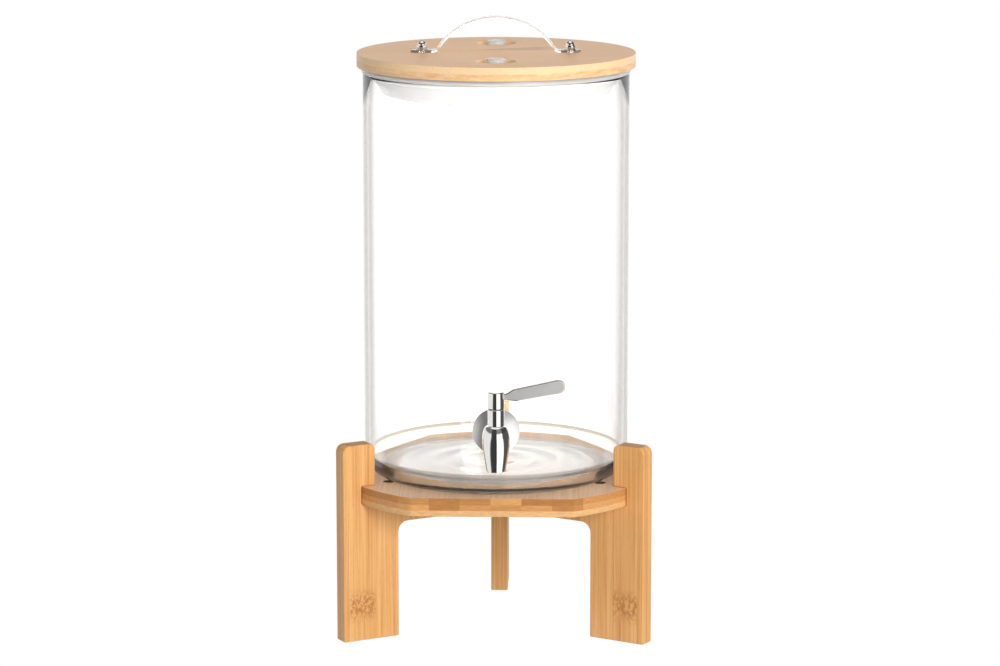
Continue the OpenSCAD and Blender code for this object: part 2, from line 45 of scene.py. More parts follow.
def roundCorners(corners, steps=7):
    # corners are (x, y, radius); each sharp corner becomes an arc of that radius
    outline = []
    count = len(corners)
    for i, (x, y, r) in enumerate(corners):
        here = Vector((x, y))
        if r <= 0:
            outline.append((x, y))
            continue
        back = (Vector(corners[i - 1][:2]) - here).normalized()
        ahead = (Vector(corners[(i + 1) % count][:2]) - here).normalized()
        half = back.angle(ahead) / 2
        reach = r / math.tan(half)
        centre = here + (back + ahead).normalized() * (r / math.sin(half))
        start = here + back * reach - centre
        end = here + ahead * reach - centre
        sweep = start.angle_signed(end)
        for k in range(steps + 1):
            turned = start.copy()
            turned.rotate(Matrix.Rotation(-sweep * k / steps, 2))
            outline.append(tuple(centre + turned))
    return outline


def arc(x, y, wide, tall, start, end, steps, first=1):
    # points of a round about (x, y), between two angles; its own start is left out unless first is 0
    turns = [start + (end - start) * k / steps for k in range(first, steps + 1)]
    return [(x + wide * math.cos(a), y + tall * math.sin(a)) for a in turns]


def makePiece(name, bm, materials, sharpAngle=32):
    bmesh.ops.recalc_face_normals(bm, faces=bm.faces)
    mesh = bpy.data.meshes.new(name)
    bm.to_mesh(mesh)
    bm.free()
    for material in materials:
        mesh.materials.append(material)
    mesh.shade_smooth()
    mesh.set_sharp_from_angle(angle=math.radians(sharpAngle))
    piece = bpy.data.objects.new(name, mesh)
    scene.collection.objects.link(piece)
    return piece


def turnProfile(profile, steps=128, ring=False):
    # turns (radius, height) points about Z; a ring profile closes on itself
    bm = bmesh.new()
    rows = []
    for radius, height in profile:
        if radius < 1e-7:
            rows.append([bm.verts.new((0, 0, height))])
        else:
            rows.append([bm.verts.new((radius * math.cos(2 * math.pi * k / steps),
                                       radius * math.sin(2 * math.pi * k / steps), height))
                         for k in range(steps)])
    pairs = list(zip(rows, rows[1:]))
    if ring:
        pairs.append((rows[-1], rows[0]))
    for low, high in pairs:
        for k in range(steps):
            n = (k + 1) % steps
            if len(low) == 1:
                bm.faces.new((low[0], high[n], high[k]))
            elif len(high) == 1:
                bm.faces.new((low[k], low[n], high[0]))
            else:
                bm.faces.new((low[k], low[n], high[n], high[k]))
    return bm


def extrudeOutline(outline, low, high):
    # a flat plate along Z from a closed outline of (x, y)
    bm = bmesh.new()
    floor = [bm.verts.new((x, y, low)) for x, y in outline]
    roof = [bm.verts.new((x, y, high)) for x, y in outline]
    bm.faces.new(floor)
    bm.faces.new(roof)
    for k in range(len(outline)):
        n = (k + 1) % len(outline)
        bm.faces.new((floor[k], floor[n], roof[n], roof[k]))
    return bm


def placed(bm, matrix):
    bmesh.ops.transform(bm, matrix=matrix, verts=bm.verts)
    return bm


def joined(*meshes):
    # several bmeshes in one
    bm = bmesh.new()
    for part in meshes:
        held = bpy.data.meshes.new("held")
        part.to_mesh(held)
        part.free()
        bm.from_mesh(held)
        bpy.data.meshes.remove(held)
    return bm


def applyModifiers(piece):
    graph = bpy.context.evaluated_depsgraph_get()
    solid = bpy.data.meshes.new_from_object(piece.evaluated_get(graph))
    old = piece.data
    piece.modifiers.clear()
    piece.data = solid
    bpy.data.meshes.remove(old)


def combine(piece, bm, operation):
    # cuts bm out of the piece, or unites the two, and leaves a plain mesh
    tool = makePiece("tool", bm, piece.data.materials[:])
    step = piece.modifiers.new("combine", "BOOLEAN")
    step.operation = operation
    step.solver = "EXACT"
    step.object = tool
    applyModifiers(piece)
    bpy.data.objects.remove(tool)
    return piece


def flattenFaces(piece, area=0.0001):
    # big faces are shaded flat, so the soft edges don't bend the light across them
    for face in piece.data.polygons:
        if face.area > area:
            face.use_smooth = False


def softenEdges(piece, width, segments=3, angle=35, material=-1, sharpAngle=50):
    bevel = piece.modifiers.new("soft edges", "BEVEL")
    bevel.width = width
    bevel.segments = segments
    bevel.limit_method = "ANGLE"
    bevel.angle_limit = math.radians(angle)
    bevel.use_clamp_overlap = True
    bevel.miter_outer = "MITER_ARC"
    bevel.material = material
    applyModifiers(piece)
    piece.data.shade_smooth()
    piece.data.set_sharp_from_angle(angle=math.radians(sharpAngle))
    flattenFaces(piece)
    return piece


def turnedInPlace(piece, angle):
    # wood grain follows the piece's own axes, so they are stored before it is turned about Z
    own = piece.data.attributes.new("woodPlace", "FLOAT_VECTOR", "POINT")
    for i, vertex in enumerate(piece.data.vertices):
        own.data[i].vector = vertex.co
    piece.data.transform(Matrix.Rotation(angle, 4, "Z"))


def fitPiece(piece, body, slotName, *nodeNames):
    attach(piece, body)
    if nodeNames:
        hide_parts(*nodeNames)
    return piece


def towardsFront(y, z):
    # a piece turned about Z then lies along the tap's shank: its +Z points to the front
    return Matrix.Translation((0, y, z)) @ Matrix.Rotation(math.radians(90), 4, "X")


def newMaterial(name):
    material = bpy.data.materials.new(name)
    material.use_nodes = True
    tree = material.node_tree
    tree.nodes.clear()
    output = tree.nodes.new("ShaderNodeOutputMaterial")
    return material, tree, output


def addNode(tree, kind, inputs=None, **settings):
    node = tree.nodes.new("ShaderNode" + kind)
    for key, value in settings.items():
        setattr(node, key, value)
    for key, value in (inputs or {}).items():
        if isinstance(value, bpy.types.NodeSocket):
            tree.links.new(value, node.inputs[key])
        else:
            node.inputs[key].default_value = value
    return node


def calc(tree, operation, a, b=0.0, c=0.0, clamp=False):
    return addNode(tree, "Math", {0: a, 1: b, 2: c}, operation=operation, use_clamp=clamp).outputs[0]


def times(tree, a, b):
    return calc(tree, "MULTIPLY", a, b)


def blendColour(tree, factor, a, b, mode="MIX"):
    node = addNode(tree, "Mix", data_type="RGBA", blend_type=mode)
    for socket, value in ((node.inputs[0], factor), (node.inputs[6], a), (node.inputs[7], b)):
        if isinstance(value, bpy.types.NodeSocket):
            tree.links.new(value, socket)
        else:
            socket.default_value = value if isinstance(value, float) else (*value[:3], 1)
    return node.outputs[2]


def spread(tree, value, low, high, toLow=0.0, toHigh=1.0):
    return addNode(tree, "MapRange", {0: value, 1: low, 2: high, 3: toLow, 4: toHigh}, clamp=True).outputs[0]


def band(tree, value, low, high, soft=0.002):
    # 1 between low and high, fading out over soft at both ends
    return times(tree, spread(tree, value, low, low + soft), spread(tree, value, high - soft, high, 1.0, 0.0))


def asGrey(tree, value):
    return addNode(tree, "CombineXYZ", {0: value, 1: value, 2: value}).outputs[0]


def lengthOf(tree, x, y):
    return calc(tree, "SQRT", calc(tree, "ADD", times(tree, x, x), times(tree, y, y)))


def noiseAt(tree, vector, scale, detail=3.0, rough=0.55):
    return addNode(tree, "TexNoise", {"Vector": vector, "Scale": scale, "Detail": detail,
                                      "Roughness": rough}).outputs[0]


def stretched(tree, vector, factors):
    return addNode(tree, "Mapping", {"Vector": vector, "Scale": factors}).outputs[0]


def axesOf(tree, along, across, up):
    # the piece's own coordinates, reordered to (along the grain, across it, through the plies)
    place = addNode(tree, "Attribute", attribute_name="woodPlace").outputs["Vector"]
    split = addNode(tree, "SeparateXYZ", {0: place})
    axis = {"X": split.outputs[0], "Y": split.outputs[1], "Z": split.outputs[2]}
    u, v, w = axis[along], axis[across], axis[up]
    both = addNode(tree, "CombineXYZ", {0: u, 1: v, 2: w}).outputs[0]
    return u, v, w, both


def plyLevel(tree, w, look):
    # how many plies up from the board's underside
    return calc(tree, "DIVIDE", calc(tree, "SUBTRACT", w, look["plyStart"]), look["plyHeight"])


# how fine each part of the grain is, along the grain and across it
grainScale = {
    "fibres": (9, 620, 620), "bands": (4, 230, 230), "clouds": (7, 22, 22), "flecks": (170, 1500, 1500),
}


def bambooMaterial(name, look):
    material, tree, output = newMaterial(name)
    u, v, w, place = axesOf(tree, *look["axes"])
    # glued strips, each with its own tone
    strip = calc(tree, "DIVIDE", calc(tree, "ADD", v, look["stripShift"]), look["stripWidth"])
    number = calc(tree, "FLOOR", strip)
    ply = calc(tree, "FLOOR", plyLevel(tree, w, look))
    seed = addNode(tree, "CombineXYZ", {0: number, 1: ply, 2: look["seed"]}).outputs[0]
    tone = addNode(tree, "TexWhiteNoise", {"Vector": seed}, noise_dimensions="3D").outputs["Value"]
    inStrip = calc(tree, "FRACT", strip)
    seam = spread(tree, calc(tree, "ABSOLUTE", calc(tree, "SUBTRACT", inStrip, 0.5)), 0.485, 0.5)
    # each strip's grain starts somewhere else
    shift = addNode(tree, "CombineXYZ", {0: times(tree, tone, 3.0), 1: number, 2: ply}).outputs[0]
    moved = addNode(tree, "VectorMath", {0: place, 1: shift}, operation="ADD").outputs[0]
    fibres = noiseAt(tree, stretched(tree, moved, grainScale["fibres"]), 1.0, 4.0, 0.65)
    bands = noiseAt(tree, stretched(tree, moved, grainScale["bands"]), 1.0, 3.0, 0.55)
    clouds = noiseAt(tree, stretched(tree, moved, grainScale["clouds"]), 1.0, 2.0, 0.5)
    dots = noiseAt(tree, stretched(tree, moved, grainScale["flecks"]), 1.0, 2.0, 0.5)
    flecks = spread(tree, dots, 0.62, 0.72)
    grain = calc(tree, "ADD", times(tree, fibres, look["fibre"]), times(tree, bands, look["band"]))
    grain = calc(tree, "ADD", grain, times(tree, clouds, look["cloud"]))
    level = (look["fibre"] + look["band"] + look["cloud"]) / 2
    streak = spread(tree, grain, level - look["spread"], level + look["spread"])
    colour = blendColour(tree, streak, look["dark"], look["light"])
    # tone of the whole strip
    colour = blendColour(tree, spread(tree, tone, 0.0, 1.0, 0.0, look["stripTone"]), colour,
                         blendColour(tree, 1.0, colour, look["stripTint"], "MULTIPLY"))
    colour = blendColour(tree, times(tree, flecks, look["fleck"]), colour, look["fleckColour"])
    colour = blendColour(tree, times(tree, seam, look["seam"]), colour, look["seamColour"])
    for extra in look.get("extras", ()):
        colour = extra(tree, u, v, w, place, colour)
    rough = spread(tree, bands, 0.3, 0.7, look["roughness"][0], look["roughness"][1])
    height = calc(tree, "SUBTRACT", times(tree, fibres, 0.7), times(tree, seam, 0.5))
    height = calc(tree, "SUBTRACT", height, times(tree, flecks, 0.5))
    bump = addNode(tree, "Bump", {"Strength": look["bump"], "Distance": 0.00025, "Height": height})
    shader = addNode(tree, "BsdfPrincipled", {"Base Color": colour, "Roughness": rough,
                                              "Normal": bump.outputs[0], "Specular IOR Level": 0.4,
                                              "Coat Weight": look["varnish"], "Coat Roughness": 0.28})
    tree.links.new(shader.outputs[0], output.inputs[0])
    return material


legWood = {
    "axes": ("Z", "X", "Y"), "stripShift": 0.0, "stripWidth": 0.0215,
    "plyStart": -0.0065, "plyHeight": 0.0065, "seed": 4.0,
    "light": (0.97, 0.56, 0.225), "dark": (0.66, 0.29, 0.08),
    "fibre": 1.0, "band": 0.7, "cloud": 0.3, "spread": 0.26,
    "stripTone": 0.6, "stripTint": (0.90, 0.84, 0.74),
    "fleck": 0.30, "fleckColour": (0.50, 0.21, 0.06), "seam": 0.40, "seamColour": (0.50, 0.24, 0.08),
    "roughness": (0.38, 0.55), "bump": 0.30, "varnish": 0.12, "endGrain": (0.62, 0.60, 0.60), "top": 0.1508,
    "knuckleHeight": 0.0275, "knuckleTall": 0.014, "knuckleFrom": 0.106, "knuckleTo": 0.129,
    "knuckleColour": (0.80, 0.40, 0.13), "knuckleDepth": 0.35,
    "strokeScale": (330, 480, 60), "strokeColour": (0.48, 0.19, 0.05), "strokeDepth": 0.9,
}


def knuckle(look):
    # the ring of the cane, cut through: short orange-brown strokes across one strip, low on the leg
    def paint(tree, u, v, w, place, colour):
        fall = calc(tree, "ABSOLUTE", calc(tree, "SUBTRACT", u, look["knuckleHeight"]))
        zone = spread(tree, fall, look["knuckleTall"] * 0.3, look["knuckleTall"], 1.0, 0.0)
        inside = band(tree, v, look["knuckleFrom"], look["knuckleTo"])
        strokes = noiseAt(tree, stretched(tree, place, look["strokeScale"]), 1.0, 2.0, 0.6)
        mark = spread(tree, strokes, 0.40, 0.58)
        area = times(tree, zone, inside)
        shade = blendColour(tree, times(tree, area, look["knuckleDepth"]), colour, look["knuckleColour"])
        shade = blendColour(tree, times(tree, times(tree, area, mark), look["strokeDepth"]), shade,
                            look["strokeColour"])
        # the sawn top end is duller
        end = blendColour(tree, 1.0, shade, look["endGrain"], "MULTIPLY")
        return blendColour(tree, calc(tree, "GREATER_THAN", u, look["top"]), shade, end)
    return paint


legWood["extras"] = (knuckle(legWood),)

platformWood = {
    "axes": ("Y", "X", "Z"), "stripShift": 0.0013, "stripWidth": 0.0228,
    "plyStart": 0.105, "plyHeight": 0.00467, "plySeams": (1.0, 1.9, 2.97), "seed": 2.0,
    "light": (0.92, 0.63, 0.40), "dark": (0.64, 0.40, 0.235),
    "fibre": 1.0, "band": 0.4, "cloud": 0.3, "spread": 0.30,
    "stripTone": 0.2, "stripTint": (0.90, 0.84, 0.82),
    "fleck": 0.45, "fleckColour": (0.40, 0.23, 0.14), "seam": 0.25, "seamColour": (0.48, 0.28, 0.15),
    "roughness": (0.42, 0.6), "bump": 0.35, "varnish": 0.1,
    "blockLight": (0.86, 0.42, 0.145), "blockDark": (0.50, 0.20, 0.05), "bottomPly": (0.94, 0.54, 0.23),
    "shadedHoleReach": 0.0965, "holeShadeColour": (0.09, 0.045, 0.02),  # painted shade: the holes' walls are coloured dark as if in shadow
    # how dark each block is, from the left; the blocks start at blocksFrom
    "blocksFrom": -0.0925, "topBlocks": (0.7, 0.5, 0.8, 0.65, 0.05, 0.85, 0.9, 0.5),
    "middleBlocks": (0.2, 0.05, 0.75, 0.3, 0.4, 0.25, 0.7, 0.15),
}


def blockTone(tree, v, look, tones):
    reach = look["stripWidth"] * len(tones)
    ramp = addNode(tree, "ValToRGB", {0: spread(tree, v, look["blocksFrom"], look["blocksFrom"] + reach)})
    ramp.color_ramp.interpolation = "CONSTANT"
    marks = ramp.color_ramp.elements
    marks.remove(marks[-1])
    for i, tone in enumerate(tones):
        mark = marks[0] if i == 0 else marks.new(i / len(tones))
        mark.color = (tone, tone, tone, 1)
    return ramp.outputs[0]


def plies(look):
    # the board's edge: two plies of light and dark blocks over a light ply
    def paint(tree, u, v, w, place, colour):
        level = plyLevel(tree, w, look)
        fine = noiseAt(tree, stretched(tree, place, (420, 160, 1500)), 1.0, 3.0, 0.6)
        lines = spread(tree, fine, 0.3, 0.7, 0.74, 1.0)
        bottomSeam, middleSeam, topFace = look["plySeams"]
        light, dark = look["blockLight"], look["blockDark"]
        middle = blendColour(tree, blockTone(tree, v, look, look["middleBlocks"]), light, dark)
        top = blendColour(tree, blockTone(tree, v, look, look["topBlocks"]), light, dark)
        edge = blendColour(tree, calc(tree, "GREATER_THAN", level, bottomSeam), look["bottomPly"], middle)
        edge = blendColour(tree, calc(tree, "GREATER_THAN", level, middleSeam), edge, top)
        edge = blendColour(tree, 1.0, edge, asGrey(tree, lines), "MULTIPLY")
        inPly = calc(tree, "FRACT", calc(tree, "ADD", level, 0.5))
        near = calc(tree, "ABSOLUTE", calc(tree, "SUBTRACT", inPly, 0.5))
        glue = times(tree, spread(tree, near, 0.0, 0.05, 1.0, 0.0), 0.3)
        edge = blendColour(tree, glue, edge, look["seamColour"])
        # painted shade: inside the screw holes the board's edge is coloured nearly black, as if in shadow
        inHole = calc(tree, "LESS_THAN", lengthOf(tree, u, v), look["shadedHoleReach"])
        edge = blendColour(tree, inHole, edge, look["holeShadeColour"])
        return blendColour(tree, calc(tree, "GREATER_THAN", level, topFace), edge, colour)
    return paint


platformWood["extras"] = (plies(platformWood),)

lidWood = {
    "axes": ("X", "Y", "Z"), "stripShift": 0.004, "stripWidth": 0.024,
    "plyStart": 0.4285, "plyHeight": 0.005, "topFace": 1.975, "seed": 7.0,
    "light": (0.99, 0.64, 0.355), "dark": (0.88, 0.495, 0.245),
    "fibre": 0.7, "band": 0.6, "cloud": 0.6, "spread": 0.42,
    "stripTone": 0.22, "stripTint": (0.86, 0.84, 0.82),
    "fleck": 0.28, "fleckColour": (0.50, 0.28, 0.13), "seam": 0.2, "seamColour": (0.50, 0.29, 0.14),
    "roughness": (0.34, 0.5), "bump": 0.25, "varnish": 0.15,
    "upperPly": (0.99, 0.68, 0.39), "lowerPly": (0.99, 0.70, 0.40), "lowerDark": (0.90, 0.48, 0.20),
    # painted shadow of the handle strap on the lid, and a warm strip of painted light in front of it
    "strapShadowLow": 0.010, "strapShadowHigh": 0.036, "strapShadowFrom": -0.028, "strapShadowTo": 0.036,
    "strapShadowColour": (0.36, 0.22, 0.12), "strapShadowDepth": 0.42,
    "strapLightLow": -0.007, "strapLightFrom": -0.044, "strapLightTo": 0.012,
    "strapLightColour": (0.88, 0.45, 0.15), "strapLightDepth": 0.65,
}


def lidEdge(look):
    # two plies show round the lid: a pale one over a warmer, mottled one
    def paint(tree, u, v, w, place, colour):
        level = plyLevel(tree, w, look)
        mottle = noiseAt(tree, stretched(tree, place, (70, 70, 420)), 1.0, 4.0, 0.65)
        dots = spread(tree, noiseAt(tree, stretched(tree, place, (600, 600, 900)), 1.0, 2.0, 0.5), 0.62, 0.7)
        lower = blendColour(tree, spread(tree, mottle, 0.35, 0.65), look["lowerDark"], look["lowerPly"])
        cloudy = spread(tree, mottle, 0.3, 0.7, 0.0, 0.5)
        upper = blendColour(tree, cloudy, look["upperPly"], look["lowerPly"])
        edge = blendColour(tree, spread(tree, level, 0.95, 1.02), lower, upper)
        edge = blendColour(tree, times(tree, dots, 0.3), edge, look["fleckColour"])
        # painted shadow of the handle strap: a dark strip that widens to the right, with a warm strip of
        # painted light from the strap in front of it
        along = spread(tree, u, look["strapShadowFrom"], look["strapShadowTo"])
        roof = calc(tree, "ADD", times(tree, along, look["strapShadowHigh"] - look["strapShadowLow"]), look["strapShadowLow"])
        inStrapShadow = times(tree, spread(tree, v, look["strapShadowLow"], look["strapShadowLow"] + 0.002),
                        spread(tree, calc(tree, "SUBTRACT", roof, v), 0.0, 0.002))
        inReach = spread(tree, u, look["strapShadowTo"] - 0.006, look["strapShadowTo"] + 0.012, 1.0, 0.0)
        inStrapLight = band(tree, v, look["strapLightLow"], look["strapShadowLow"])
        strapLightReach = times(tree, spread(tree, u, look["strapLightFrom"], look["strapLightFrom"] + 0.003),
                            spread(tree, u, look["strapLightFrom"] + 0.02, look["strapLightTo"], 1.0, 0.0))
        strapShadow = times(tree, times(tree, inStrapShadow, inReach), look["strapShadowDepth"])
        top = blendColour(tree, strapShadow, colour, look["strapShadowColour"])
        strapLight = times(tree, times(tree, inStrapLight, strapLightReach), look["strapLightDepth"])
        top = blendColour(tree, strapLight, top, look["strapLightColour"])
        onTop = calc(tree, "GREATER_THAN", level, look["topFace"])
        return blendColour(tree, onTop, edge, top)
    return paint


lidWood["extras"] = (lidEdge(lidWood),)


def steelMaterial(name, look):
    material, tree, output = newMaterial(name)
    place = addNode(tree, "TexCoord").outputs["Object"]
    wear = noiseAt(tree, stretched(tree, place, look["stretch"]), 1.0, 4.0, 0.6)
    smudge = noiseAt(tree, place, 60.0, 3.0, 0.6)
    rough = calc(tree, "ADD", spread(tree, wear, 0.3, 0.7, look["roughness"][0], look["roughness"][1]),
                 spread(tree, smudge, 0.4, 0.8, 0.0, look["smudge"]))
    colour = blendColour(tree, spread(tree, smudge, 0.3, 0.7), look["colour"], look["shade"])
    bump = addNode(tree, "Bump", {"Strength": look["bump"], "Distance": 0.00005, "Height": wear})
    shader = addNode(tree, "BsdfPrincipled", {"Base Color": colour, "Metallic": 1.0, "Roughness": rough,
                                              "Normal": bump.outputs[0]})
    tree.links.new(shader.outputs[0], output.inputs[0])
    return material


polishedSteel = steelMaterial("polished steel", {
    "colour": (0.86, 0.85, 0.83), "shade": (0.80, 0.79, 0.77), "stretch": (900, 900, 300),
    "roughness": (0.035, 0.07), "smudge": 0.03, "bump": 0.02})
satinSteel = steelMaterial("satin steel", {
    "colour": (0.88, 0.86, 0.83), "shade": (0.80, 0.78, 0.75), "stretch": (120, 3000, 2600),
    "roughness": (0.38, 0.48), "smudge": 0.04, "bump": 0.12})
domeSteel = steelMaterial("polished steel, soft", {
    "colour": (0.90, 0.89, 0.87), "shade": (0.84, 0.83, 0.81), "stretch": (300, 300, 300),
    "roughness": (0.38, 0.42), "smudge": 0.03, "bump": 0.01})
plainSteel = steelMaterial("machined steel", {
    "colour": (0.58, 0.58, 0.57), "shade": (0.46, 0.46, 0.46), "stretch": (700, 700, 2400),
    "roughness": (0.22, 0.38), "smudge": 0.06, "bump": 0.15})


def rubberMaterial(name, look):
    material, tree, output = newMaterial(name)
    place = addNode(tree, "TexCoord").outputs["Object"]
    dust = noiseAt(tree, place, 40.0, 4.0, 0.55)
    skin = noiseAt(tree, place, 2600.0, 2.0, 0.5)
    colour = blendColour(tree, spread(tree, dust, 0.35, 0.7), look["colour"], look["shade"])
    rough = spread(tree, dust, 0.3, 0.7, look["roughness"][0], look["roughness"][1])
    bump = addNode(tree, "Bump", {"Strength": look["skin"], "Distance": 0.0001, "Height": skin})
    shader = addNode(tree, "BsdfPrincipled", {
        "Base Color": colour, "Roughness": rough, "Normal": bump.outputs[0],
        "Transmission Weight": look["clear"], "IOR": 1.41,
        "Subsurface Weight": look["depth"], "Subsurface Radius": (0.004, 0.0036, 0.003),
        "Subsurface Scale": 1.0})
    tree.links.new(shader.outputs[0], output.inputs[0])
    return material


clearSilicone = rubberMaterial("clear silicone", {
    "colour": (0.99, 0.985, 0.97), "shade": (0.975, 0.965, 0.945), "roughness": (0.14, 0.24), "clear": 0.50,
    "depth": 0.0, "skin": 0.02})
whiteSilicone = rubberMaterial("white silicone", {
    "colour": (0.86, 0.86, 0.83), "shade": (0.80, 0.79, 0.75), "roughness": (0.4, 0.55), "clear": 0.0,
    "depth": 0.3, "skin": 0.12})
blackRubber = rubberMaterial("black rubber", {
    "colour": (0.035, 0.035, 0.037), "shade": (0.06, 0.06, 0.06), "roughness": (0.45, 0.6), "clear": 0.0,
    "depth": 0.0, "skin": 0.12})


def clearMaterial(name, look):
    # bends light for the eye, and lets the lamps' light straight through
    material, tree, output = newMaterial(name)
    place = addNode(tree, "TexCoord").outputs["Object"]
    wave = noiseAt(tree, stretched(tree, place, look["waveStretch"]), 1.0, 2.0, 0.5)
    haze = noiseAt(tree, place, 35.0, 4.0, 0.6)
    bump = addNode(tree, "Bump", {"Strength": look["wave"], "Distance": 0.0004, "Height": wave})
    rough = spread(tree, haze, 0.45, 0.85, look["roughness"][0], look["roughness"][1])
    tint = (*look["tint"], 1)
    if "edgeShade" in look:
        # painted shade: the glass's colour is darkened where the wall is seen along its thickness, edge-on
        facing = addNode(tree, "LayerWeight", {"Blend": 0.5}).outputs["Facing"]
        rise = spread(tree, facing, look["edgeFrom"], look["edgeFull"])
        rise = times(tree, times(tree, rise, rise), rise)
        fall = spread(tree, facing, *look["edgeFade"], 1.0, 0.2)
        tint = blendColour(tree, times(tree, rise, fall), look["tint"], look["edgeShade"])
    glass = addNode(tree, "BsdfPrincipled", {
        "Base Color": tint, "Roughness": rough, "IOR": look["ior"],
        "Transmission Weight": look["clear"], "Normal": bump.outputs[0]})
    through = addNode(tree, "BsdfTransparent", {"Color": (*look["lampTint"], 1)})
    ray = addNode(tree, "LightPath").outputs["Is Shadow Ray"]
    both = addNode(tree, "MixShader", {0: ray, 1: glass.outputs[0], 2: through.outputs[0]})
    tree.links.new(both.outputs[0], output.inputs[0])
    if look["depthDensity"]:
        soak = addNode(tree, "VolumeAbsorption", {"Color": (*look["depthColour"], 1),
                                                  "Density": look["depthDensity"]})
        tree.links.new(soak.outputs[0], output.inputs[1])
    return material


jarGlass = clearMaterial("jar glass", {
    "tint": (1.0, 1.0, 1.0), "ior": 1.48, "clear": 1.0, "roughness": (0.0, 0.012), "wave": 0.05,
    "waveStretch": (14, 14, 5), "lampTint": (0.99, 0.99, 0.98),
    # painted shade on the jar's edge-on walls
    "edgeShade": (0.26, 0.23, 0.20), "edgeFrom": 0.42, "edgeFull": 0.78, "edgeFade": (0.86, 0.97),
    "depthColour": (0.50, 0.46, 0.40), "depthDensity": 6.0})
footGlass = clearMaterial("jar glass, pressed foot", {
    "tint": (0.985, 0.985, 0.97), "ior": 1.54, "clear": 0.76, "roughness": (0.0, 0.02), "wave": 0.04,
    "waveStretch": (14, 14, 14), "lampTint": (0.99, 0.99, 0.98),
    "depthColour": (0.50, 0.46, 0.40), "depthDensity": 2.0})
heelGlass = clearMaterial("jar glass, heel", {
    "tint": (1.0, 0.985, 0.955), "ior": 1.48, "clear": 0.97, "roughness": (0.0, 0.02), "wave": 0.04,
    "waveStretch": (14, 14, 14), "lampTint": (0.99, 0.99, 0.98),
    "depthColour": (0.60, 0.52, 0.36), "depthDensity": 3.0})
strapPlastic = clearMaterial("clear plastic", {
    "tint": (0.99, 0.99, 0.99), "ior": 1.42, "clear": 0.85, "roughness": (0.02, 0.08), "wave": 0.08,
    "waveStretch": (60, 60, 60), "lampTint": (0.96, 0.96, 0.97),
    "depthColour": (0.9, 0.91, 0.93), "depthDensity": 4.0})
woodOfLegs = bambooMaterial("bamboo of the legs", legWood)
woodOfPlatform = bambooMaterial("bamboo of the platform", platformWood)
woodOfLid = bambooMaterial("bamboo of the lid", lidWood)
print("materials made")


leg = {
    "angles": {"left": 210, "right": 330, "rear": 90}, "thickness": 0.013, "softEdge": 0.0009,
    "reach": 0.133, "innerLow": 0.087, "innerUp": 0.1065, "height": 0.151,
    "corner": 0.006, "innerCorner": 0.0042, "slotDepth": 0.1178,
    "boardLow": 0.105, "boardHigh": 0.119, "armEnd": 0.048, "armLow": 0.0885, "fillet": 0.008,
}


def buildLeg(side):
    outline = roundCorners([
        (leg["innerLow"], 0, 0), (leg["reach"], 0, 0),
        (leg["reach"], leg["height"], leg["corner"]), (leg["innerUp"], leg["height"], leg["innerCorner"]),
        (leg["innerUp"], leg["boardHigh"], 0), (leg["slotDepth"], leg["boardHigh"], 0),
        (leg["slotDepth"], leg["boardLow"], 0), (leg["armEnd"], leg["boardLow"], 0),
        (leg["armEnd"], leg["armLow"], leg["innerCorner"]), (leg["innerLow"], leg["armLow"], leg["fillet"])])
    bm = extrudeOutline(outline, -leg["thickness"] / 2, leg["thickness"] / 2)
    placed(bm, Matrix.Rotation(math.radians(90), 4, "X"))
    piece = makePiece("leg" + side.capitalize(), bm, [woodOfLegs])
    softenEdges(piece, leg["softEdge"])
    turnedInPlace(piece, math.radians(leg["angles"][side]) + turnStand)
    fitPiece(piece, "stand", "bamboo_leg", "leg_" + side)


for side in leg["angles"]:
    buildLeg(side)

platform = {
    "radius": 0.1175, "flat": 0.101, "low": 0.105, "high": 0.119, "softEdge": 0.0007,
    "screwReach": (0.0915, 0.062), "holeRadius": 0.00225, "seatRadius": 0.00425, "seatDepth": 0.005,
}


def buildPlatform():
    spreadAngle = math.acos(platform["flat"] / platform["radius"])
    outline = []
    for flatAngle in (270, 30, 150):
        start = math.radians(flatAngle) + spreadAngle
        end = math.radians(flatAngle + 120) - spreadAngle
        outline += arc(0, 0, platform["radius"], platform["radius"], start, end, 32, first=0)
    board = extrudeOutline(outline, platform["low"], platform["high"])
    piece = makePiece("platformBoard", board, [woodOfPlatform])
    cutters = []
    under, over = platform["low"] - cutPast, platform["high"] + cutPast
    shoulder = platform["high"] - platform["seatDepth"]
    for angle in leg["angles"].values():
        for reach in platform["screwReach"]:
            hole = turnProfile([
                (0, under), (platform["holeRadius"], under), (platform["holeRadius"], shoulder),
                (platform["seatRadius"], shoulder), (platform["seatRadius"], over), (0, over)], 32)
            a = math.radians(angle)
            cutters.append(placed(hole, Matrix.Translation((reach * math.cos(a), reach * math.sin(a), 0))))
    combine(piece, joined(*cutters), "DIFFERENCE")
    softenEdges(piece, platform["softEdge"], 2)
    turnedInPlace(piece, turnStand)
    fitPiece(piece, "stand", "bamboo_board", "platform")


buildPlatform()
print("stand built")


jar = {
    "radius": 0.1, "wall": 0.0035, "height": 0.305, "bottom": 0.119, "heel": 0.0135, "heelExtra": 0.0015,
    "floor": 0.0055, "punt": 0.0025, "standRing": 0.012, "rippleCount": 3.5, "rippleHeight": 0.0007,
    "rippleDip": 0.0002, "holeRadius": 0.008, "holeHeight": 0.1705, "drillFrom": -0.09, "drillDepth": 0.02,
    "footHeight": 0.0185, "footReach": 0.0875,
}


